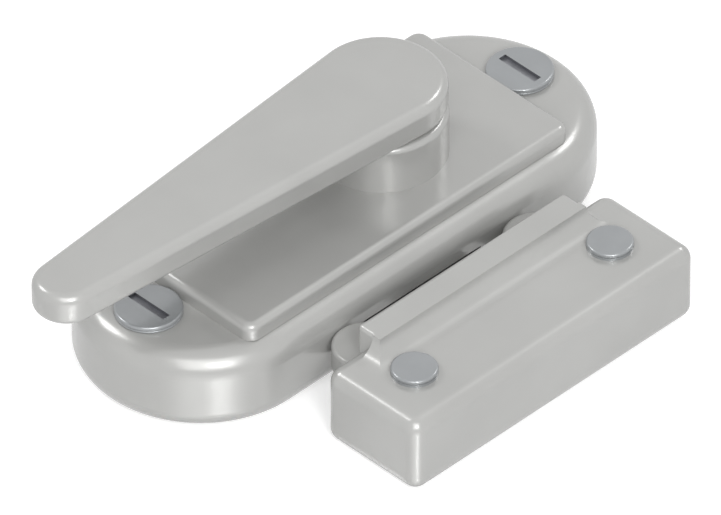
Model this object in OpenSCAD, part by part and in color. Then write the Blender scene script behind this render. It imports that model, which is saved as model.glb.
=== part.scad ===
// Crescent sash lock with its keeper.
// X runs along the housing, Y from the keeper towards the lock, Z up.
// The origin is the centre of the housing's underside.

/* [Housing] */
// Length of the housing over its round ends
housing_len = 63.9; // [63:0.1:76]
// Width of the housing
housing_w = 26; // [25.8:0.1:28]
// Height of the housing, from the sash to its flat top
housing_h = 9.2; // [8.9:0.05:10.5]
// Thickness of the housing's side wall
housing_wall = 2.5; // [2.3:0.1:2.6]
// Thickness of the housing's roof
roof_t = 1.7; // [1.4:0.1:1.9]
// Radius of the housing's rounded top edge
housing_top_f = 2.7; // [0.8:0.05:2.8]
// Radius of the housing's rounded bottom edge
housing_bottom_f = 2.2; // [0.6:0.05:2.2]

/* [Cover plate] */
// Gap between the cover plate and each screw head
plate_gap = 0.1; // [0.05:0.05:2]
// Width of the raised cover plate
plate_w = 21.7; // [18:0.1:22]
// Height of the cover plate above the housing
plate_t = 1.9; // [1.6:0.1:2.6]
// Radius of the cover plate's upright corners
plate_corner_r = 1.3; // [1:0.1:3]
// Radius of the cover plate's rounded top edge
plate_f = 0.8; // [0.4:0.05:0.95]
// Radius of the pegs that hold the cover plate to the roof
peg_r = 1.2; // [0.8:0.1:1.5]
// Distance of each peg from the middle of the plate
peg_reach = 17.5; // [15:0.5:18.5]

/* [Lever] */
// Place of the pivot along the housing
pivot_x = 6.4; // [6:0.1:7]
// Distance from the pivot to the centre of the lever's round tip
lever_reach = 44.1; // [30:0.1:60]
// Radius of the lever's hub
lever_hub_r = 6.85; // [6.4:0.05:8]
// Radius of the lever's tip
lever_tip_r = 3.45; // [3:0.05:5]
// Thickness of the lever
lever_t = 3.7; // [3:0.1:5]
// Radius of the lever's rounded upper edges
lever_f = 1.05; // [0.5:0.05:1.4]
// Radius of the lever's rounded lower edges
lever_low_f = 0.9; // [0.3:0.05:1]
// Radius of the boss that carries the lever
boss_r = 6.95; // [6.5:0.05:8]
// Height of the boss that carries the lever above the cover plate
boss_h = 5.5; // [3:0.1:10]
// Radius of the rounded top edge of the boss
boss_f = 0.7; // [0.3:0.05:0.9]
// Thickness of the slip washer between the boss and the lever
slip_t = 0.25; // [0.15:0.05:0.5]

/* [Spindle] */
// Radius of the spindle's journal in the long bush
spindle_r = 3.6; // [3.55:0.05:4]
// Width across the flats of the spindle's two squares
square_w = 5; // [4:0.1:5]
// Radius of the spindle's lower journal
foot_r = 2; // [1.8:0.1:2.3]
// Wall of the long bush
bush_wall = 1; // [0.8:0.1:1.3]
// Thickness of the bushes' flanges
flange_t = 0.4; // [0.3:0.1:0.5]
// Depth of the spindle's square in the lever
socket_depth = 1.8; // [1.2:0.1:2.4]
// Radial clearance of every running fit
run_clear = 0.04; // [0.02:0.01:0.08]

/* [Cam] */
// Outer radius of the crescent cam about the pivot
cam_r = 21.2; // [20.6:0.05:21.4]
// Radius of the cam's hub
cam_hub_r = 5.6; // [5.2:0.1:6]
// Height of the underside of the cam above the sash
cam_z = 2; // [1.9:0.05:2.1]
// Thickness of the cam's web
cam_web_t = 1.6; // [1.2:0.1:1.7]
// Height of the cam's rim above its web
rim_h = 1.4; // [1:0.1:1.5]
// Thickness of the cam's rim at its thin, leading end
rim_t = 1.3; // [1.2:0.05:1.5]
// Shift of the rim's inner circle, which makes it a crescent
rim_shift = 1; // [0.4:0.1:1.6]
// Direction of the lobe's leading side, locked, from the +X axis
lobe_lead = -87; // [-90:1:-86]
// Direction of the lobe's trailing side, locked
lobe_trail = -118; // [-118:1:-112]
// Turn of the lever from locked to open
lever_turn = 90; // [80:1:90]
// Gap kept between the moving cam and what it passes
cam_clear = 0.3; // [0.25:0.05:0.4]

/* [Keeper] */
// Length of the keeper
keeper_len = 39.9; // [38:0.1:44]
// Depth of the keeper
keeper_d = 12.85; // [12.5:0.05:14]
// Height of the keeper
keeper_h = 8.9; // [8.6:0.1:10]
// Gap between the housing and the keeper's back
sash_gap = 5.5; // [5.4:0.05:5.8]
// Radius of the keeper's rounded edges
keeper_f = 1.5; // [0.5:0.05:1.6]
// Wall of the keeper
keeper_wall = 2.6; // [2.3:0.1:2.7]
// Length of the keeper's lip
lip_len = 29.2; // [24:0.1:30]
// Thickness of the lip
lip_t = 3.25; // [2.8:0.05:3.6]
// Reach of the lip over the keeper's back
lip_over = 0.75; // [0.6:0.05:1.6]
// Height of the lip above the keeper
lip_h = 2.2; // [1.8:0.1:3]
// Depth of the lip below the keeper's top, at its overhang
lip_drop = 1.5; // [1.2:0.1:1.8]
// Radius of the lip's rounded top edges
lip_f = 0.5; // [0.3:0.05:0.8]
// Radius of the hollow round that joins the lip to the keeper's top
cove_r = 2.2; // [1.4:0.1:2.2]
// Radius of the two round lugs that set the gap to the housing
lug_r = 3.6; // [3.2:0.05:3.6]
// Distance between the lugs' centres
lug_pitch = 24.2; // [24.2:0.1:25]
// Height of the lugs' underside above the sash
lug_z = 3.6; // [2:0.1:4]
// Thickness of the lugs
lug_t = 2.9; // [2:0.1:3.2]

/* [Fasteners] */
// Distance between the lock's two screws
screw_pitch = 52.6; // [52:0.1:53]
// Radius of the lock screws' heads
screw_head_r = 3.5; // [3:0.05:3.5]
// Height of the lock screws' heads
screw_head_h = 0.5; // [0.5:0.05:1.2]
// Radius of the lock screws' shanks
screw_r = 1.75; // [1.5:0.05:1.9]
// Length of the driver slot
slot_len = 5.1; // [3:0.1:5.6]
// Width of the driver slot
slot_w = 0.8; // [0.6:0.05:1.1]
// Depth of the driver slot
slot_depth = 0.4; // [0.3:0.05:0.45]
// Thickness of the washer under each head
washer_t = 0.25; // [0.2:0.05:0.8]
// Distance between the keeper's two pins
keeper_pin_pitch = 27.7; // [26:0.1:28]
// Distance of the keeper's pins from its back
keeper_pin_in = 6.6; // [6.4:0.1:6.9]
// Radius of the keeper pins' heads
keeper_head_r = 2.43; // [2.2:0.01:2.6]
// Radius of the keeper pins' shanks
keeper_pin_r = 1.3; // [1:0.05:1.5]

/* [Hidden] */
$fn = 96;

cut = 1;
seat = 0.05;
roof_z = housing_h - roof_t;
plate_len = screw_pitch - 2 * (screw_head_r + plate_gap);
plate_top = housing_h + plate_t;
boss_top = plate_top + boss_h;
lever_z = boss_top + slip_t;
housing_front = -housing_w / 2;

base_t = 1;
base_gap = 0.1;
spigot_r = 5.6;
slip_in = 0.3;
bush_out_r = spindle_r + run_clear + bush_wall;
bush_flange_r = bush_out_r + 1.2;
foot_bush_wall = 0.8;
foot_bush_r = foot_r + run_clear + foot_bush_wall;
screw_boss_r = screw_r + 1.5;
screw_fit = 0.2;

cam_top = cam_z + cam_web_t;
rim_top = cam_top + rim_h;
slot_low = cam_z - cam_clear;
slot_high = rim_top + cam_clear;
sweep_r = cam_r + cam_clear;
clip_t = 0.5;
clip_gap = 0.1;
clip_z = cam_z - clip_gap - clip_t;
clip_r = 3.3;
clip_mouth = 1.8;
groove_depth = 0.4;
washer_bore_r = spindle_r + run_clear + 0.1;
thrust_t = 0.5;
thrust_z = roof_z - flange_t - thrust_t;
wave_t = 0.3;
wave_r = 5.2;
wave_gap = 0.2;
wave_z = thrust_z - wave_gap - wave_t;
cam_hub_top = wave_z - wave_gap;

stop_r = 1.2;
stop_reach = 8.6;
stop_sink = 0.5;
stop_end_gap = 0.1;
stop_off = asin((stop_r + seat) / stop_reach);
stop_angles = [lobe_lead + stop_off, lobe_trail - lever_turn - stop_off];

post_r = 1.7;
post_in = [14.2, 12.6];
post_gap = 1.9;
post_x = [-housing_len / 2 + post_in[0], housing_len / 2 - post_in[1]];
post_y = housing_w / 2 - housing_wall - post_r - post_gap;
post_screw_r = 0.8;
post_head_r = 1.5;
post_sink = 0.7;
post_end_gap = 1;
thread_fit = 0.02;

spring_t = 0.5;
spring_h = 2;
spring_x = pivot_x + cam_hub_r + seat * 2;
spring_half = 7.4;
spring_z = cam_z + 0.4;
spring_foot = 3;
rivet_r = 0.7;
rivet_head_r = 1.05;
rivet_head_h = 0.4;

keeper_back = housing_front - sash_gap;
keeper_front = keeper_back - keeper_d;
keeper_mid = (keeper_back + keeper_front) / 2;
lip_back = keeper_back + lip_over;
lip_front = lip_back - lip_t;
lip_top = keeper_h + lip_h;
lug_gap = 0.05;
lug_f = 0.4;
lug_y = housing_front - lug_gap - lug_r;
keeper_pin_y = keeper_back - keeper_pin_in;
keeper_roof = 2.2;
hook_root = 0.7;
keeper_boss_r = keeper_pin_r + 1.5;
pin_head_h = 0.45;
pin_washer_t = 0.3;
head_f = 0.25;
head_low_f = 0.1;
washer_f = 0.12;
edge_depth = 3;

// A disc is [x, y, radius]; a convex outline is a ring of discs, counter-clockwise.
stadium = [for (s = [1, -1]) [s * (housing_len - housing_w) / 2, 0, housing_w / 2]];
plate_discs = box_discs(plate_len, plate_w, plate_corner_r, [0, 0]);
lever_discs = [[pivot_x, 0, lever_hub_r], [pivot_x - lever_reach, 0, lever_tip_r]];

function box_discs(length, width, r, at) =
    [for (c = [[1, -1], [1, 1], [-1, 1], [-1, -1]])
        [at.x + c.x * (length / 2 - r), at.y + c.y * (width / 2 - r), r]];

function shrink(discs, by) = [for (d = discs) [d.x, d.y, d[2] - by]];

// Direction of the outward normal of the straight side from disc a to disc b
function side_normal(a, b) =
    atan2(b.y - a.y, b.x - a.x) - acos((a[2] - b[2]) / norm([b.x - a.x, b.y - a.y]));

function rim_point(d, angle, inset) =
    [d.x + (d[2] - inset) * cos(angle), d.y + (d[2] - inset) * sin(angle)];

function side_points(discs, inset) =
    [for (i = [0 : len(discs) - 1], k = [0, 1])
        let (a = discs[i], b = discs[(i + 1) % len(discs)])
        rim_point(k == 0 ? a : b, side_normal(a, b), inset)];

// The same points, with each disc's centre between its two
function core_points(discs, inset) =
    [for (i = [0 : len(discs) - 1], k = [0 : 2])
        let (a = discs[i], b = discs[(i + 1) % len(discs)])
        k == 2 ? [b.x, b.y] : rim_point(k == 0 ? a : b, side_normal(a, b), inset)];

module about_pivot() {
    translate([pivot_x, 0, 0]) children();
}

module at_screws() {
    for (s = [1, -1]) translate([s * screw_pitch / 2, 0, 0]) children();
}

module at_posts() {
    for (x = post_x, s = [1, -1]) translate([x, s * post_y, 0]) children();
}

module at_stops() {
    about_pivot() for (a = stop_angles) rotate(a) translate([stop_reach, 0, 0]) children();
}

module at_keeper_pins() {
    for (s = [1, -1]) translate([s * keeper_pin_pitch / 2, keeper_pin_y, 0]) children();
}

module ring(outer_r, inner_r, height) {
    difference() {
        cylinder(r = outer_r, h = height);
        translate([0, 0, -cut]) cylinder(r = inner_r, h = height + 2 * cut);
    }
}

// Upright section of a rounded edge: x reaches to the outside, y is the height
module edge_section(reach, height, top_f, bottom_f) {
    square([reach - bottom_f, height / 2]);
    translate([0, height / 2]) square([reach - top_f, height / 2]);
    translate([0, bottom_f]) square([reach, height - top_f - bottom_f]);
    if (top_f > 0) translate([reach - top_f, height - top_f]) circle(r = top_f);
    if (bottom_f > 0) translate([reach - bottom_f, bottom_f]) circle(r = bottom_f);
}

// Disc with rounded edges, or the part of it from one direction through a turn
module round_disc(r, height, top_f, bottom_f, from = 0, turn = 360) {
    rotate_extrude(angle = turn, start = from) intersection() {
        edge_section(r, height, top_f, bottom_f);
        square([r, height]);
    }
}

// Solid over a ring of discs, with its top and bottom edges rounded
module soft_plate(discs, height, top_f, bottom_f) {
    inset = max(top_f, bottom_f);
    count = len(discs);
    for (i = [0 : count - 1]) {
        a = discs[i];
        b = discs[(i + 1) % count];
        n = side_normal(a, b);
        from = side_normal(discs[(i + count - 1) % count], a);
        translate([a.x, a.y, 0]) round_disc(a[2], height, top_f, bottom_f, from, (n - from + 720) % 360);
        translate([a.x, a.y, 0]) cylinder(r = (a[2] - inset) / 2, h = height);
        run = sqrt(pow(b.x - a.x, 2) + pow(b.y - a.y, 2) - pow(a[2] - b[2], 2));
        translate([a.x, a.y, 0]) rotate(n) translate([a[2] - edge_depth, run, 0]) rotate([90, 0, 0])
            linear_extrude(run) edge_section(edge_depth, height, top_f, bottom_f);
    }
    linear_extrude(height) polygon(core_points(discs, inset));
}

module hard_plate(discs, height) {
    for (d = discs) translate([d.x, d.y, 0]) cylinder(r = d[2], h = height);
    linear_extrude(height) polygon(side_points(discs, 0));
}

// Box with every edge and corner rounded, centred on X and Y, from z = 0
module round_box(size, f) {
    flat = [size.x - 2 * f, size.y - 2 * f, size.z - 2 * f];
    translate([-size.x / 2, -size.y / 2, 0]) {
        translate([0, f, f]) cube([size.x, flat.y, flat.z]);
        translate([f, 0, f]) cube([flat.x, size.y, flat.z]);
        translate([f, f, 0]) cube([flat.x, flat.y, size.z]);
        for (a = [f, size.x - f], b = [f, size.y - f]) translate([a, b, f]) cylinder(r = f, h = flat.z);
        for (a = [f, size.x - f], c = [f, size.z - f]) translate([a, f, c]) rotate([-90, 0, 0]) cylinder(r = f, h = flat.y);
        for (b = [f, size.y - f], c = [f, size.z - f]) translate([f, b, c]) rotate([0, 90, 0]) cylinder(r = f, h = flat.x);
        for (a = [f, size.x - f], b = [f, size.y - f], c = [f, size.z - f]) translate([a, b, c]) sphere(r = f);
    }
}

// Part of a disc about the pivot, between two directions
module sector(r, from, to, height) {
    rotate_extrude(angle = to - from, start = from) square([r, height]);
}

module housing() {
    color("silver") difference() {
        union() {
            difference() {
                soft_plate(stadium, housing_h, housing_top_f, housing_bottom_f);
                translate([0, 0, -cut]) hard_plate(shrink(stadium, housing_wall), roof_z + cut);
            }
            at_screws() translate([0, 0, base_t]) cylinder(r = screw_boss_r, h = housing_h - base_t - roof_t / 2);
            at_posts() translate([0, 0, base_t]) cylinder(r = post_r, h = housing_h - base_t - roof_t / 2);
        }
        at_screws() translate([0, 0, -cut]) cylinder(r = screw_r + screw_fit, h = housing_h + 2 * cut);
        at_posts() translate([0, 0, -cut]) cylinder(r = post_screw_r + thread_fit, h = roof_z + cut);
        at_stops() translate([0, 0, -cut]) cylinder(r = stop_r, h = roof_z + cut + stop_sink + stop_end_gap);
        about_pivot() translate([0, 0, roof_z - cut]) cylinder(r = bush_out_r, h = roof_t + 2 * cut);
        for (s = [1, -1]) translate([s * peg_reach, 0, roof_z - cut])
            cylinder(r = peg_r + seat, h = roof_t + 2 * cut);
        cam_slot();
    }
}

// Mouth in the housing's front wall through which the cam turns out
module cam_slot() {
    left = pivot_x - sweep_r * cos(asin((housing_w / 2 - housing_wall) / sweep_r)) - cam_clear;
    right = pivot_x + (housing_w / 2) / tan(-lobe_lead) + cam_clear * 2;
    translate([left, housing_front - cut, slot_low])
        cube([right - left, housing_wall + 2 * cut, slot_high - slot_low]);
}

module base_plate() {
    color("gray") difference() {
        hard_plate(shrink(stadium, housing_wall + base_gap), base_t);
        at_screws() translate([0, 0, -cut]) cylinder(r = screw_r + screw_fit, h = base_t + 2 * cut);
        at_posts() translate([0, 0, -cut]) cylinder(r = post_screw_r + screw_fit, h = base_t + 2 * cut);
        at_posts() translate([0, 0, -seat]) cylinder(r1 = post_head_r + seat, r2 = post_screw_r, h = post_sink + seat);
        at_stops() translate([0, 0, -cut]) cylinder(r = stop_r, h = base_t + 2 * cut);
        about_pivot() translate([0, 0, -cut]) cylinder(r = foot_bush_r, h = base_t + 2 * cut);
    }
}

module base_screws() {
    color("dimgray") at_posts() {
        cylinder(r1 = post_head_r, r2 = post_screw_r, h = post_sink);
        cylinder(r = post_screw_r, h = roof_z - post_end_gap);
    }
}

module cover_plate() {
    color("silver") difference() {
        union() {
            translate([0, 0, housing_h]) soft_plate(plate_discs, plate_t, plate_f, 0);
            for (s = [1, -1]) translate([s * peg_reach, 0, roof_z]) cylinder(r = peg_r, h = roof_t + cut);
        }
        about_pivot() translate([0, 0, housing_h - cut]) cylinder(r = spigot_r, h = plate_t + 2 * cut);
    }
}

module pivot_boss() {
    color("silver") about_pivot() difference() {
        union() {
            translate([0, 0, plate_top]) round_disc(boss_r, boss_h, boss_f, 0);
            translate([0, 0, housing_h]) cylinder(r = spigot_r, h = plate_t + cut);
        }
        translate([0, 0, housing_h - cut]) cylinder(r = bush_out_r, h = boss_top - housing_h + 2 * cut);
    }
}

module long_bush() {
    bush_z = roof_z - flange_t;
    color("darkgoldenrod") about_pivot() difference() {
        union() {
            translate([0, 0, bush_z]) cylinder(r = bush_flange_r, h = flange_t);
            translate([0, 0, bush_z]) cylinder(r = bush_out_r, h = boss_top - bush_z);
        }
        translate([0, 0, bush_z - cut]) cylinder(r = spindle_r + run_clear, h = boss_top - bush_z + 2 * cut);
    }
}

module foot_bush() {
    color("darkgoldenrod") about_pivot() ring(foot_bush_r, foot_r + run_clear, base_t);
}

module stop_pins() {
    color("dimgray") at_stops() cylinder(r = stop_r, h = roof_z + stop_sink);
}

// Leaf that presses on the cam's hub, its two feet riveted to the base plate
module detent_spring() {
    color("lightsteelblue") difference() {
        union() {
            translate([spring_x, -spring_half, base_t]) cube([spring_t, 2 * spring_half, spring_z + spring_h - base_t]);
            for (s = [1, -1]) translate([spring_x, s * (spring_half - spring_foot / 2) - spring_foot / 2, base_t])
                cube([spring_foot, spring_foot, spring_t]);
        }
        translate([spring_x - cut, -spring_half + spring_foot, base_t - cut])
            cube([spring_t + 2 * cut, 2 * (spring_half - spring_foot), spring_z - base_t + cut]);
        at_rivets() translate([0, 0, -cut]) cylinder(r = rivet_r, h = base_t + 2 * cut + spring_t);
    }
}

module at_rivets() {
    for (s = [1, -1]) translate([spring_x + spring_foot / 2 + spring_t / 2, s * (spring_half - spring_foot / 2), 0])
        children();
}

module spring_rivets() {
    color("dimgray") at_rivets() translate([0, 0, base_t]) {
        cylinder(r = rivet_r, h = spring_t);
        translate([0, 0, spring_t]) cylinder(r = rivet_head_r, h = rivet_head_h);
    }
}

module lock_screws() {
    head_z = housing_h + washer_t;
    color("slategray") at_screws() difference() {
        union() {
            translate([0, 0, head_z]) round_disc(screw_head_r, screw_head_h, head_f, head_low_f);
            translate([0, 0, seat]) cylinder(r = screw_r, h = head_z + screw_head_h / 2);
        }
        translate([-slot_w / 2, -slot_len / 2, head_z + screw_head_h - slot_depth])
            cube([slot_w, slot_len, slot_depth + cut]);
    }
}

module lock_washers() {
    color("slategray") at_screws() translate([0, 0, housing_h])
        difference() {
            round_disc(screw_head_r, washer_t, washer_f, washer_f);
            translate([0, 0, -cut]) cylinder(r = screw_r + seat, h = washer_t + 2 * cut);
        }
}

module lever_handle() {
    color("silver") difference() {
        translate([0, 0, lever_z]) hull() for (d = lever_discs) translate([d.x, d.y, 0])
            round_disc(d[2], lever_t, lever_f, lever_low_f, $fn = 48);
        about_pivot() translate([-square_w / 2, -square_w / 2, lever_z - cut])
            cube([square_w, square_w, socket_depth + cut]);
    }
}

module slip_washer() {
    color("ivory") about_pivot() translate([0, 0, boss_top])
        ring(boss_r - boss_f - slip_in, washer_bore_r, slip_t);
}

module spindle() {
    color("dimgray") about_pivot() difference() {
        union() {
            translate([0, 0, seat]) cylinder(r = foot_r, h = cam_z);
            translate([-square_w / 2, -square_w / 2, cam_z - seat])
                cube([square_w, square_w, lever_z + socket_depth - cam_z + seat]);
            translate([0, 0, cam_hub_top]) cylinder(r = spindle_r, h = lever_z - cam_hub_top);
        }
        translate([0, 0, clip_z]) ring(foot_r + cut, foot_r - groove_depth, clip_t);
    }
}

module crescent_cam() {
    lead = lobe_lead;
    trail = lobe_trail;
    color("silver") about_pivot() difference() {
        union() {
            translate([0, 0, cam_z]) cylinder(r = cam_hub_r, h = cam_hub_top - cam_z);
            translate([0, 0, cam_z]) sector(cam_r, trail, lead, cam_web_t);
            difference() {
                translate([0, 0, cam_z]) sector(cam_r, trail, lead, rim_top - cam_z);
                rotate(lead + 90) translate([rim_shift, 0, cam_top])
                    cylinder(r = cam_r - rim_t, h = rim_h + cut);
            }
        }
        translate([-square_w / 2 - seat, -square_w / 2 - seat, cam_z - cut])
            cube([square_w + 2 * seat, square_w + 2 * seat, cam_hub_top - cam_z + 2 * cut]);
    }
}

module wave_washer() {
    color("lightsteelblue") about_pivot() translate([0, 0, wave_z]) ring(wave_r, washer_bore_r, wave_t);
}

module thrust_washer() {
    color("ivory") about_pivot() translate([0, 0, thrust_z]) ring(bush_flange_r, washer_bore_r, thrust_t);
}

module retaining_clip() {
    color("black") about_pivot() translate([0, 0, clip_z]) difference() {
        ring(clip_r, foot_r - groove_depth, clip_t);
        translate([0, -clip_mouth / 2, -cut]) cube([clip_r + cut, clip_mouth, clip_t + 2 * cut]);
    }
}

module keeper() {
    color("silver") difference() {
        union() {
            translate([0, keeper_mid, 0]) round_box([keeper_len, keeper_d, keeper_h], keeper_f);
            keeper_lip();
            keeper_hook();
            for (s = [1, -1]) translate([s * lug_pitch / 2, lug_y, lug_z]) round_disc(lug_r, lug_t, lug_f, lug_f);
        }
        difference() {
            keeper_hollow();
            at_keeper_pins() cylinder(r = keeper_boss_r, h = keeper_h);
        }
        at_keeper_pins() translate([0, 0, -cut]) cylinder(r = keeper_pin_r + seat, h = keeper_h + 2 * cut);
        at_keeper_pins() translate([0, 0, keeper_h]) cylinder(r = keeper_head_r + seat, h = lip_h);
        cam_sweep();
    }
}

// Lip with rounded top edges, joined to the keeper's top by hollow rounds
module keeper_lip() {
    foot = keeper_h + cove_r;
    lip_low = keeper_h - lip_drop;
    translate([0, (lip_back + lip_front) / 2, lip_low]) round_box([lip_len, lip_t, lip_top - lip_low], lip_f);
    difference() {
        translate([-lip_len / 2 - cove_r, lip_front - cove_r, keeper_h - cove_r / 2])
            cube([lip_len + 2 * cove_r, lip_t + cove_r - lip_over - keeper_f, cove_r * 1.5]);
        translate([-lip_len, lip_front - cove_r, foot]) rotate([0, 90, 0]) cylinder(r = cove_r, h = 2 * lip_len);
        for (s = [1, -1]) translate([s * (lip_len / 2 + cove_r), lip_back + cut, foot]) rotate([90, 0, 0])
            cylinder(r = cove_r, h = 3 * lip_t);
    }
}

// Web below the lip, between the lugs, behind which the cam's rim passes
module keeper_hook() {
    half = lug_pitch / 2 - lug_r - seat;
    translate([-half, keeper_back - hook_root, cam_top + cam_clear])
        cube([2 * half, lip_over + hook_root, keeper_h - lip_drop / 2 - cam_top - cam_clear]);
}

module keeper_hollow() {
    length = keeper_len - 2 * keeper_wall;
    depth = keeper_d - 2 * keeper_wall;
    translate([-length / 2, keeper_mid - depth / 2, -cut])
        cube([length, depth, keeper_h - keeper_roof + cut]);
}

// Space that the cam's web and rim turn through
module cam_sweep() {
    from = lobe_trail - lever_turn;
    to = lobe_lead + 1.2;
    inner = cam_r - rim_t - rim_shift * 0.6 - cam_clear;
    about_pivot() {
        translate([0, 0, slot_low]) sector(sweep_r, from, to, cam_top + cam_clear - slot_low);
        difference() {
            translate([0, 0, cam_top]) sector(sweep_r, from, to, slot_high - cam_top);
            cylinder(r = inner, h = housing_h);
        }
    }
}

module keeper_pins() {
    color("slategray") at_keeper_pins() {
        translate([0, 0, keeper_h + pin_washer_t]) round_disc(keeper_head_r, pin_head_h, head_f, head_low_f);
        translate([0, 0, seat]) cylinder(r = keeper_pin_r, h = keeper_h + pin_washer_t);
    }
}

module keeper_washers() {
    color("slategray") at_keeper_pins() translate([0, 0, keeper_h])
        ring(keeper_head_r, keeper_pin_r + seat, pin_washer_t);
}

housing();
base_plate();
base_screws();
cover_plate();
pivot_boss();
long_bush();
foot_bush();
stop_pins();
detent_spring();
spring_rivets();
lock_screws();
lock_washers();
lever_handle();
slip_washer();
spindle();
crescent_cam();
wave_washer();
thrust_washer();
retaining_clip();
keeper();
keeper_pins();
keeper_washers();
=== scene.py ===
import math

import bpy
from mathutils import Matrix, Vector


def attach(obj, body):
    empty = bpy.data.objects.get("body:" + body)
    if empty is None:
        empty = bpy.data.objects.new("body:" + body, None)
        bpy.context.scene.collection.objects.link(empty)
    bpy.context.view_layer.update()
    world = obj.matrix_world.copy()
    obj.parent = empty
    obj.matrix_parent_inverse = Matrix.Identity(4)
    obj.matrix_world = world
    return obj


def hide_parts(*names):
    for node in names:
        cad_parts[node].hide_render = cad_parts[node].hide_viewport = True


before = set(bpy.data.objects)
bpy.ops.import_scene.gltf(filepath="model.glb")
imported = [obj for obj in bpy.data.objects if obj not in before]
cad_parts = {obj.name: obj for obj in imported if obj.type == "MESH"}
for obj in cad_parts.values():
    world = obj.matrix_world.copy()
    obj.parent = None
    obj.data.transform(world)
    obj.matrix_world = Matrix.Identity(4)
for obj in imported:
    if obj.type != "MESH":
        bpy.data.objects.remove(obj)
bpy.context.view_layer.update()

print("stage: frame loaded")

# camera: the photo's view has no visible perspective, so the lens is long
view = {
    "azimuth": -44.9,
    "elevation": 40.16,
    "widthMm": 72.42,  # what the photo's 721 pixels take in
    "lens": 1200.0,  # the longest that the other views' clip range allows
    "sensor": 36.0,
    "clipStart": 0.1,
    "clipEnd": 40.0,
    "pivot": (0.0, 0.0, 0.0092),  # the middle of the housing's top
    "pivotAt": (335.26, 191.78),  # where the photo shows it
    "photoSize": (721, 515),
}


def placeCamera():
    azimuth, elevation = math.radians(view["azimuth"]), math.radians(view["elevation"])
    back = Vector((
        math.sin(azimuth) * math.cos(elevation),
        -math.cos(azimuth) * math.cos(elevation),
        math.sin(elevation),
    ))
    turn = (-back).to_track_quat("-Z", "Y")
    pixel = view["widthMm"] / view["photoSize"][0] / 1000
    right, up = turn @ Vector((1, 0, 0)), turn @ Vector((0, 1, 0))
    middle = Vector(view["pivot"])
    middle += right * (view["photoSize"][0] / 2 - view["pivotAt"][0]) * pixel
    middle -= up * (view["photoSize"][1] / 2 - view["pivotAt"][1]) * pixel
    distance = view["widthMm"] / 1000 * view["lens"] / view["sensor"]
    data = bpy.data.cameras.new("camera")
    data.lens, data.sensor_width = view["lens"], view["sensor"]
    data.clip_start, data.clip_end = view["clipStart"], view["clipEnd"]
    camera = bpy.data.objects.new("camera", data)
    bpy.context.collection.objects.link(camera)
    camera.location = middle + back * distance
    camera.rotation_mode = "QUATERNION"
    camera.rotation_quaternion = turn
    bpy.context.scene.camera = camera


placeCamera()
print("stage: camera placed")


def linear(hexColour):
    channels = [int(hexColour[i:i + 2], 16) / 255 for i in (1, 3, 5)]
    return tuple(c / 12.92 if c <= 0.04045 else ((c + 0.055) / 1.055) ** 2.4
                 for c in channels) + (1.0,)


def addNode(tree, kind, settings=(), links=()):
    # settings: attribute, socket name or number to value; links: socket to (node, output name)
    node = tree.nodes.new(kind)
    for name, value in dict(settings).items():
        if isinstance(name, int) or name in node.inputs:
            node.inputs[name].default_value = value
        else:
            setattr(node, name, value)
    for name, (source, output) in dict(links).items():
        tree.links.new(source.outputs[output], node.inputs[name])
    return node


def newMaterial(name):
    material = bpy.data.materials.new(name)
    material.use_nodes = True
    material.node_tree.nodes.clear()
    return material, material.node_tree


pivotX = 6.4  # millimetres along X to the axis that the lever turns about
noiseSpan = (0.3, 0.7)  # nearly all of a noise texture's values lie between these
cloudSpan = (0.35, 0.65)
waveSpan = (0.0, 1.0)
wavePeriod = math.tau / 20  # metres between the rings of a wave texture at a scale of 1
streakSquash = 0.06  # a streak's width as a share of its length
plainCoatRough = 0.03


def addNoise(tree, vector, sizeMm, detail, roughness=0.5):
    settings = {"Scale": 1000 / sizeMm, "Detail": detail, "Roughness": roughness}
    return addNode(tree, "ShaderNodeTexNoise", settings, {"Vector": vector})


def shadeMetal(tree, look, tones, toneSpan, relief, reliefSpan):
    # one texture mixes the look's two tones, one sets the roughness and dents the surface
    tone = addNode(tree, "ShaderNodeValToRGB", {}, {"Fac": (tones, "Fac")})
    ends = zip(tone.color_ramp.elements, toneSpan, (look["dark"], look["light"]))
    for end, position, colour in ends:
        end.position, end.color = position, linear(colour)
    rough = addNode(tree, "ShaderNodeMapRange", {
        "From Min": reliefSpan[0],
        "From Max": reliefSpan[1],
        "To Min": look["rough"] - look["roughSpan"],
        "To Max": look["rough"] + look["roughSpan"],
    }, {"Value": (relief, "Fac")})
    bump = addNode(tree, "ShaderNodeBump",
                   {"Strength": look["bump"], "Distance": look["bumpMm"] / 1000},
                   {"Height": (relief, "Fac")})
    shader = addNode(tree, "ShaderNodeBsdfPrincipled", {
        "Metallic": look["metallic"],
        "Coat Weight": look.get("coat", 0.0),
        "Coat Roughness": look.get("coatRough", plainCoatRough),
    }, {"Base Color": (tone, "Color"), "Roughness": (rough, "Result"), "Normal": (bump, "Normal")})
    addNode(tree, "ShaderNodeOutputMaterial", {}, {"Surface": (shader, "BSDF")})


def castMetal(name, look):
    # a fine grain on soft, slow waves of tone, both too shallow to see as shape
    material, tree = newMaterial(name)
    place = addNode(tree, "ShaderNodeTexCoord")
    grain = addNoise(tree, (place, "Object"), look["grainMm"], 3.0, 0.6)
    cloud = addNoise(tree, (place, "Object"), look["cloudMm"], 2.0)
    shadeMetal(tree, look, cloud, noiseSpan, grain, noiseSpan)
    return material


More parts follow.
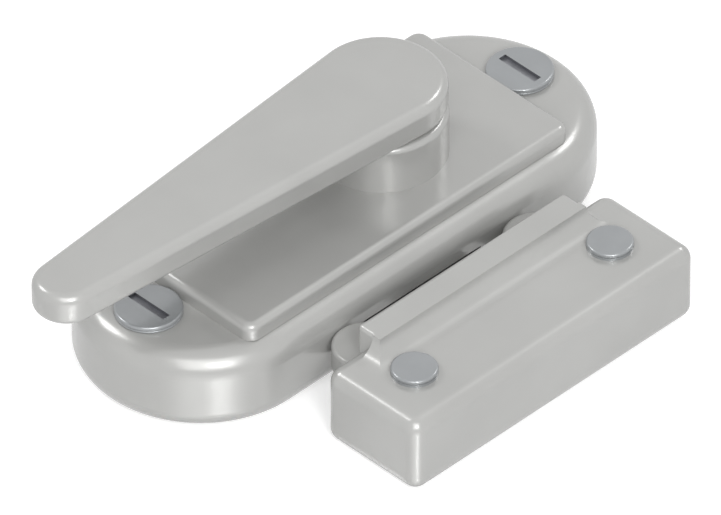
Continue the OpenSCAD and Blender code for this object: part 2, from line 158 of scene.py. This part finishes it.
def turnedMetal(name, look):
    # lathe work on the pivot's axis: fine rings, broken up by noise, over a slow change of tone
    material, tree = newMaterial(name)
    place = addNode(tree, "ShaderNodeTexCoord")
    centred = addNode(tree, "ShaderNodeMapping", {"Location": (-pivotX / 1000, 0, 0)},
                      {"Vector": (place, "Object")})
    rings = addNode(tree, "ShaderNodeTexWave", {
        "wave_type": "RINGS",
        "rings_direction": "Z",
        "Scale": wavePeriod * 1000 / look["ringMm"],
        "Distortion": 1.2,
        "Detail": 1.0,
    }, {"Vector": (centred, "Vector")})
    cloud = addNoise(tree, (place, "Object"), look["cloudMm"], 3.0)
    shadeMetal(tree, look, cloud, cloudSpan, rings, waveSpan)
    return material


def rolledSheet(name, look):
    # rolled strip: long, fine streaks along the strip
    material, tree = newMaterial(name)
    place = addNode(tree, "ShaderNodeTexCoord")
    along = addNode(tree, "ShaderNodeMapping", {"Scale": (streakSquash, 1, 1)},
                    {"Vector": (place, "Object")})
    streaks = addNoise(tree, (along, "Vector"), look["streakMm"], 4.0)
    shadeMetal(tree, look, streaks, noiseSpan, streaks, noiseSpan)
    return material


# satin silver lacquer over die-cast zinc: pale, soft-edged highlights
satinZinc = {"dark": "#adadab", "light": "#b2b2b0", "grainMm": 0.18, "cloudMm": 9.0,
             "rough": 0.25, "roughSpan": 0.02, "bump": 0.012, "bumpMm": 0.01,
             "metallic": 0.2, "coat": 0.25, "coatRough": 0.16}
# bare die-cast zinc, inside only: greyer and duller
bareZinc = {"dark": "#9a9b9a", "light": "#a9aaa8", "grainMm": 0.25, "cloudMm": 4.0,
            "rough": 0.42, "roughSpan": 0.06, "bump": 0.2, "bumpMm": 0.02, "metallic": 1.0}
# zinc-plated steel: a touch bluer and darker than the casting
platedSteel = {"dark": "#95989a", "light": "#9a9d9f", "grainMm": 0.12, "cloudMm": 3.0,
               "rough": 0.24, "roughSpan": 0.02, "bump": 0.01, "bumpMm": 0.008,
               "metallic": 0.35, "coat": 0.3, "coatRough": 0.12}
# the floor and sides of a screw's slot: dull steel, its darker tone painted shade for the shadow
# in the slot
slotShadeLook = {"dark": "#808185", "light": "#8c8d91", "grainMm": 0.12, "cloudMm": 1.0,
             "rough": 0.5, "roughSpan": 0.06, "bump": 0.2, "bumpMm": 0.01, "metallic": 1.0}
# natural acetal: a milky white plastic with a dull shine
acetal = {"dark": "#e2e0d8", "light": "#eceae3", "grainMm": 0.3, "cloudMm": 3.0,
          "rough": 0.38, "roughSpan": 0.05, "bump": 0.15, "bumpMm": 0.01, "metallic": 0.0}
# turned steel: fine bright lathe rings
turnedSteel = {"dark": "#8f9194", "light": "#a5a7a9", "ringMm": 0.12, "cloudMm": 2.5,
               "rough": 0.26, "roughSpan": 0.05, "bump": 0.25, "bumpMm": 0.006,
               "metallic": 1.0}
# sintered bronze: warm brown metal with dull rings
sinteredBronze = {"dark": "#8c6a42", "light": "#ab8556", "ringMm": 0.2, "cloudMm": 0.5,
                  "rough": 0.4, "roughSpan": 0.07, "bump": 0.3, "bumpMm": 0.01,
                  "metallic": 1.0}
# cold-rolled steel under the case: mid grey with soft, long streaks
rolledSteel = {"dark": "#8d8f90", "light": "#a3a4a5", "streakMm": 0.2,
               "rough": 0.34, "roughSpan": 0.08, "bump": 0.25, "bumpMm": 0.006,
               "metallic": 1.0}
# hard spring strip: darker, shinier and more finely streaked
springStrip = {"dark": "#5f6468", "light": "#787d80", "streakMm": 0.12,
               "rough": 0.24, "roughSpan": 0.06, "bump": 0.2, "bumpMm": 0.004,
               "metallic": 1.0}

zincFinish = castMetal("satinLacqueredZinc", satinZinc)
bareFinish = castMetal("bareDieCastZinc", bareZinc)
steelFinish = castMetal("zincPlatedSteel", platedSteel)
# the slot's darker steel is painted shade, not the steel's own colour
slotShadeFinish = castMetal("paintedShadeInSlot", slotShadeLook)
acetalFinish = castMetal("mouldedAcetal", acetal)
turnedFinish = turnedMetal("turnedSteel", turnedSteel)
bronzeFinish = turnedMetal("sinteredBronze", sinteredBronze)
rolledFinish = rolledSheet("coldRolledSteel", rolledSteel)
springFinish = rolledSheet("springSteelStrip", springStrip)
for finish, nodes in (
    (zincFinish, ("housing", "cover_plate", "pivot_boss", "lever_handle", "keeper")),
    (bareFinish, ("crescent_cam",)),
    (steelFinish, ("lock_screws", "lock_washers", "keeper_pins", "keeper_washers",
                   "base_screws", "stop_pins", "spring_rivets")),
    (acetalFinish, ("slip_washer",)),
    (turnedFinish, ("spindle",)),
    (bronzeFinish, ("long_bush", "foot_bush", "thrust_washer")),
    (rolledFinish, ("base_plate",)),
    (springFinish, ("detent_spring", "wave_washer", "retaining_clip")),
):
    for node in nodes:
        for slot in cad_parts[node].material_slots:
            slot.material = finish
print("stage: finishes set")

# modelling helpers; sizes are in millimetres and meshes in metres
near = 0.01  # millimetres within which two places count as the same
cutOver = 2.0  # how far a cutter stands out of what it cuts
facing = 0.9  # how much of a normal lies along the way that a face looks


def mm(*values):
    scaled = tuple(v / 1000 for v in values)
    return scaled if len(scaled) > 1 else scaled[0]


def startPiece(name, kind, **settings):
    bpy.ops.object.select_all(action="DESELECT")
    getattr(bpy.ops.mesh, "primitive_" + kind + "_add")(**settings)
    piece = bpy.context.object
    piece.name = name
    bpy.ops.object.transform_apply(location=True, rotation=True, scale=True)
    return piece


def pick(piece, mode, test):
    # opens edit mode with only the parts picked that pass the test: it gets a vertex's or face's
    # place and normal, or an edge's two ends, in millimetres
    bpy.ops.object.mode_set(mode="EDIT")
    bpy.ops.mesh.select_mode(type=mode)
    bpy.ops.mesh.select_all(action="DESELECT")
    bpy.ops.object.mode_set(mode="OBJECT")
    mesh = piece.data
    if mode == "VERT":
        for v in mesh.vertices:
            v.select = bool(test(v.co * 1000, v.normal))
    elif mode == "EDGE":
        for e in mesh.edges:
            a, b = (mesh.vertices[i].co * 1000 for i in e.vertices)
            e.select = bool(test(a, b))
    else:
        for f in mesh.polygons:
            f.select = bool(test(f.center * 1000, f.normal))
    bpy.ops.object.mode_set(mode="EDIT")


def cutAway(piece, cutter):
    bpy.ops.object.select_all(action="DESELECT")
    bpy.context.view_layer.objects.active = piece
    cut = piece.modifiers.new("cut", "BOOLEAN")
    cut.operation, cut.object, cut.solver = "DIFFERENCE", cutter, "EXACT"
    bpy.ops.object.modifier_apply(modifier="cut")
    bpy.data.objects.remove(cutter, do_unlink=True)


def finishPiece(piece, body, finish, nodes, smoothAngle=35):
    bpy.ops.object.mode_set(mode="OBJECT")
    bpy.ops.object.select_all(action="DESELECT")
    piece.select_set(True)
    bpy.context.view_layer.objects.active = piece
    bpy.ops.object.shade_smooth_by_angle(angle=math.radians(smoothAngle))
    evenNormals = piece.modifiers.new("evenNormals", "WEIGHTED_NORMAL")
    evenNormals.keep_sharp = True
    bpy.ops.object.modifier_apply(modifier="evenNormals")
    piece.data.materials.clear()
    piece.data.materials.append(finish)
    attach(piece, body)
    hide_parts(*nodes)


lever = {
    "reach": 44.1,  # from the pivot to the middle of the tip's round
    "hubRadius": 6.85,
    "tipRadius": 3.45,
    "low": 16.85,
    "thickness": 3.7,
    "topRound": 1.05,
    "lowRound": 0.9,
    "square": 5.0,
    "socket": 1.8,  # how deep the spindle's square goes in
    "sides": 128,
    "roundSteps": 9,
}


def buildLever():
    # a disc whose far side is drawn out to the tip, so the flanks meet both ends without a kink
    top = lever["low"] + lever["thickness"]
    centre = mm(pivotX, 0, lever["low"] + lever["thickness"] / 2)
    piece = startPiece("leverHandle", "cylinder", vertices=lever["sides"],
                       radius=mm(lever["hubRadius"]), depth=mm(lever["thickness"]),
                       location=centre)
    slope = math.degrees(math.asin((lever["hubRadius"] - lever["tipRadius"]) / lever["reach"]))
    flank = math.cos(math.radians(90 + slope)) * lever["hubRadius"]
    pick(piece, "VERT", lambda co, n: co.x - pivotX < flank)
    share = lever["tipRadius"] / lever["hubRadius"]
    bpy.ops.transform.resize(value=(share, share, 1), center_override=centre)
    bpy.ops.transform.translate(value=(-mm(lever["reach"]), 0, 0))
    for height, radius in ((top, lever["topRound"]), (lever["low"], lever["lowRound"])):
        pick(piece, "EDGE", lambda a, b: abs(a.z - height) < near and abs(b.z - height) < near)
        bpy.ops.mesh.bevel(offset=mm(radius), segments=lever["roundSteps"], affect="EDGES")
    bpy.ops.object.mode_set(mode="OBJECT")
    # the square socket under the hub
    cutter = startPiece("socketCutter", "cube", size=1,
                        location=mm(pivotX, 0, lever["low"] + (lever["socket"] - cutOver) / 2),
                        scale=mm(lever["square"], lever["square"], lever["socket"] + cutOver))
    cutAway(piece, cutter)
    finishPiece(piece, "lever", zincFinish, ["lever_handle"])


buildLever()
print("stage: lever modelled")

screw = {
    "pitch": 52.6,
    "headLow": 9.45,
    "headRadius": 3.5,
    "headHeight": 0.5,
    "topRound": 0.25,
    "lowRound": 0.1,
    "shankRadius": 1.75,
    "shankLow": 0.02,
    "slotLength": 5.1,
    "slotWidth": 0.95,
    "slotDepth": 0.4,
    "sides": 96,
    "roundSteps": 5,
}


def buildScrew(side):
    x, low, radius = side * screw["pitch"] / 2, screw["headLow"], screw["headRadius"]
    top = low + screw["headHeight"]
    piece = startPiece("lockScrewRight" if side > 0 else "lockScrewLeft", "cylinder",
                       vertices=screw["sides"], radius=mm(radius),
                       depth=mm(screw["headHeight"]),
                       location=mm(x, 0, low + screw["headHeight"] / 2))
    # the shank is drawn down from the head's underside
    pick(piece, "FACE", lambda co, n: n.z < -facing)
    bpy.ops.mesh.inset(thickness=mm(radius - screw["shankRadius"]))
    bpy.ops.mesh.extrude_region_move(
        TRANSFORM_OT_translate={"value": (0, 0, mm(screw["shankLow"] - low))})
    for height, edgeRound in ((top, screw["topRound"]), (low, screw["lowRound"])):
        pick(piece, "EDGE", lambda a, b: all(
            abs(v.z - height) < near and abs(math.dist((v.x, v.y), (x, 0)) - radius) < near
            for v in (a, b)))
        bpy.ops.mesh.bevel(offset=mm(edgeRound), segments=screw["roundSteps"], affect="EDGES")
    bpy.ops.object.mode_set(mode="OBJECT")
    cutter = startPiece("slotCutter", "cube", size=1,
                        location=mm(x, 0, top - screw["slotDepth"] + cutOver / 2),
                        scale=mm(screw["slotWidth"], screw["slotLength"], cutOver))
    cutAway(piece, cutter)
    finishPiece(piece, "lock_case", steelFinish, ["lock_screws"])
    # the slot's faces get the darker steel: painted shade for the shadow in the slot
    piece.data.materials.append(slotShadeFinish)
    pick(piece, "FACE", lambda co, n: abs(co.x - x) < screw["slotWidth"] / 2 + near
         and abs(co.y) < screw["slotLength"] / 2 + near and low + near < co.z < top - near)
    piece.active_material_index = 1
    bpy.ops.object.material_slot_assign()
    bpy.ops.object.mode_set(mode="OBJECT")


for side in (1, -1):
    buildScrew(side)
print("stage: lock screws modelled")

# studio: an even pale room, a few soft lamps and a floor that shows white to the camera
studio = {
    "roomTone": "#aaaaaa",
    "floorTone": "#e4e4e4",
    "floorSize": 3.0,
    "floorDrop": 0.02,  # millimetres below the object
    "floorRough": 0.5,
    "floorLift": 0.5,  # lifts the unshaded floor to white for the camera
    "polish": 0.28,
    "mirrorShare": 0.45,
    "polishTurn": 135.0,  # turns the floor's X towards the camera
    "polishFrom": 23.0,  # millimetres in front of the origin, towards the camera
    "polishTo": 27.0,
    "lamps": {  # azimuth from X, elevation, distance, width, height in metres, watts
        "keyRight": (-4, 44, 0.6, 0.14, 0.14, 0.5),
        "farLeft": (114, 46, 0.6, 0.16, 0.16, 0.75),
        "front": (-120, 36, 0.6, 0.1, 0.16, 0.75),
        "panel": (-128, 40, 1.5, 1.2, 1.2, 12.5),
    },
}
white = (1, 1, 1, 1)


def buildWorld():
    # white to the camera and in reflections, the room's tone for the light that it gives
    world = bpy.data.worlds.new("studio")
    bpy.context.scene.world = world
    world.use_nodes = True
    tree = world.node_tree
    tree.nodes.clear()
    rays = addNode(tree, "ShaderNodeLightPath")
    room = addNode(tree, "ShaderNodeBackground", {"Color": linear(studio["roomTone"]),
                   "Strength": 1.0})
    bright = addNode(tree, "ShaderNodeBackground", {"Color": white, "Strength": 1.0})
    seen = addNode(tree, "ShaderNodeMath", {"operation": "MAXIMUM"},
                   {0: (rays, "Is Camera Ray"), 1: (rays, "Is Glossy Ray")})
    mix = addNode(tree, "ShaderNodeMixShader", {}, {
        "Fac": (seen, "Value"), 1: (room, "Background"), 2: (bright, "Background")})
    addNode(tree, "ShaderNodeOutputWorld", {}, {"Surface": (mix, "Shader")})


def floorMaterial():
    material, tree = newMaterial("studioFloor")
    rays = addNode(tree, "ShaderNodeLightPath")
    matt = addNode(tree, "ShaderNodeBsdfPrincipled", {"Base Color": linear(studio["floorTone"]),
                   "Roughness": studio["floorRough"]})
    lift = addNode(tree, "ShaderNodeMath", {"operation": "MULTIPLY", 1: studio["floorLift"]},
                   {0: (rays, "Is Camera Ray")})
    glow = addNode(tree, "ShaderNodeEmission", {"Color": white}, {"Strength": (lift, "Value")})
    paper = addNode(tree, "ShaderNodeAddShader", {}, {0: (matt, "BSDF"), 1: (glow, "Emission")})
    # in the metal the floor shows as white acrylic, more polished towards the camera
    bright = addNode(tree, "ShaderNodeEmission", {"Color": white, "Strength": 1.0})
    polish = addNode(tree, "ShaderNodeBsdfGlossy", {"Color": white,
                     "Roughness": studio["polish"]})
    place = addNode(tree, "ShaderNodeTexCoord")
    turned = addNode(tree, "ShaderNodeMapping",
                     {"Rotation": (0, 0, math.radians(studio["polishTurn"]))},
                     {"Vector": (place, "Object")})
    forward = addNode(tree, "ShaderNodeSeparateXYZ", {}, {"Vector": (turned, "Vector")})
    share = addNode(tree, "ShaderNodeMapRange", {
        "interpolation_type": "SMOOTHSTEP",
        "From Min": mm(studio["polishFrom"]),
        "From Max": mm(studio["polishTo"]),
        "To Max": studio["mirrorShare"],
    }, {"Value": (forward, "X")})
    acrylic = addNode(tree, "ShaderNodeMixShader", {}, {
        0: (share, "Result"), 1: (bright, "Emission"), 2: (polish, "BSDF")})
    either = addNode(tree, "ShaderNodeMixShader", {}, {
        0: (rays, "Is Glossy Ray"), 1: (paper, "Shader"), 2: (acrylic, "Shader")})
    addNode(tree, "ShaderNodeOutputMaterial", {}, {"Surface": (either, "Shader")})
    return material


def buildFloor():
    bpy.ops.object.select_all(action="DESELECT")
    bpy.ops.mesh.primitive_plane_add(size=studio["floorSize"],
                                     location=(0, 0, -mm(studio["floorDrop"])))
    floor = bpy.context.object
    floor.name = "floor"
    bpy.ops.object.transform_apply(location=True)
    floor.data.materials.append(floorMaterial())


def placeLamp(name, azimuth, elevation, distance, width, height, watts):
    azimuth, elevation = math.radians(azimuth), math.radians(elevation)
    towards = Vector((
        math.cos(azimuth) * math.cos(elevation),
        math.sin(azimuth) * math.cos(elevation),
        math.sin(elevation),
    ))
    bpy.ops.object.light_add(type="AREA", location=towards * distance)
    lamp = bpy.context.object
    lamp.name = name
    lamp.rotation_mode = "QUATERNION"
    lamp.rotation_quaternion = towards.to_track_quat("Z", "Y")
    lamp.data.shape, lamp.data.energy = "RECTANGLE", watts
    lamp.data.size, lamp.data.size_y = width, height


buildWorld()
buildFloor()
for name, lampValues in studio["lamps"].items():
    placeLamp(name, *lampValues)
bpy.context.scene.view_settings.view_transform = "Standard"
print("stage: studio lit")
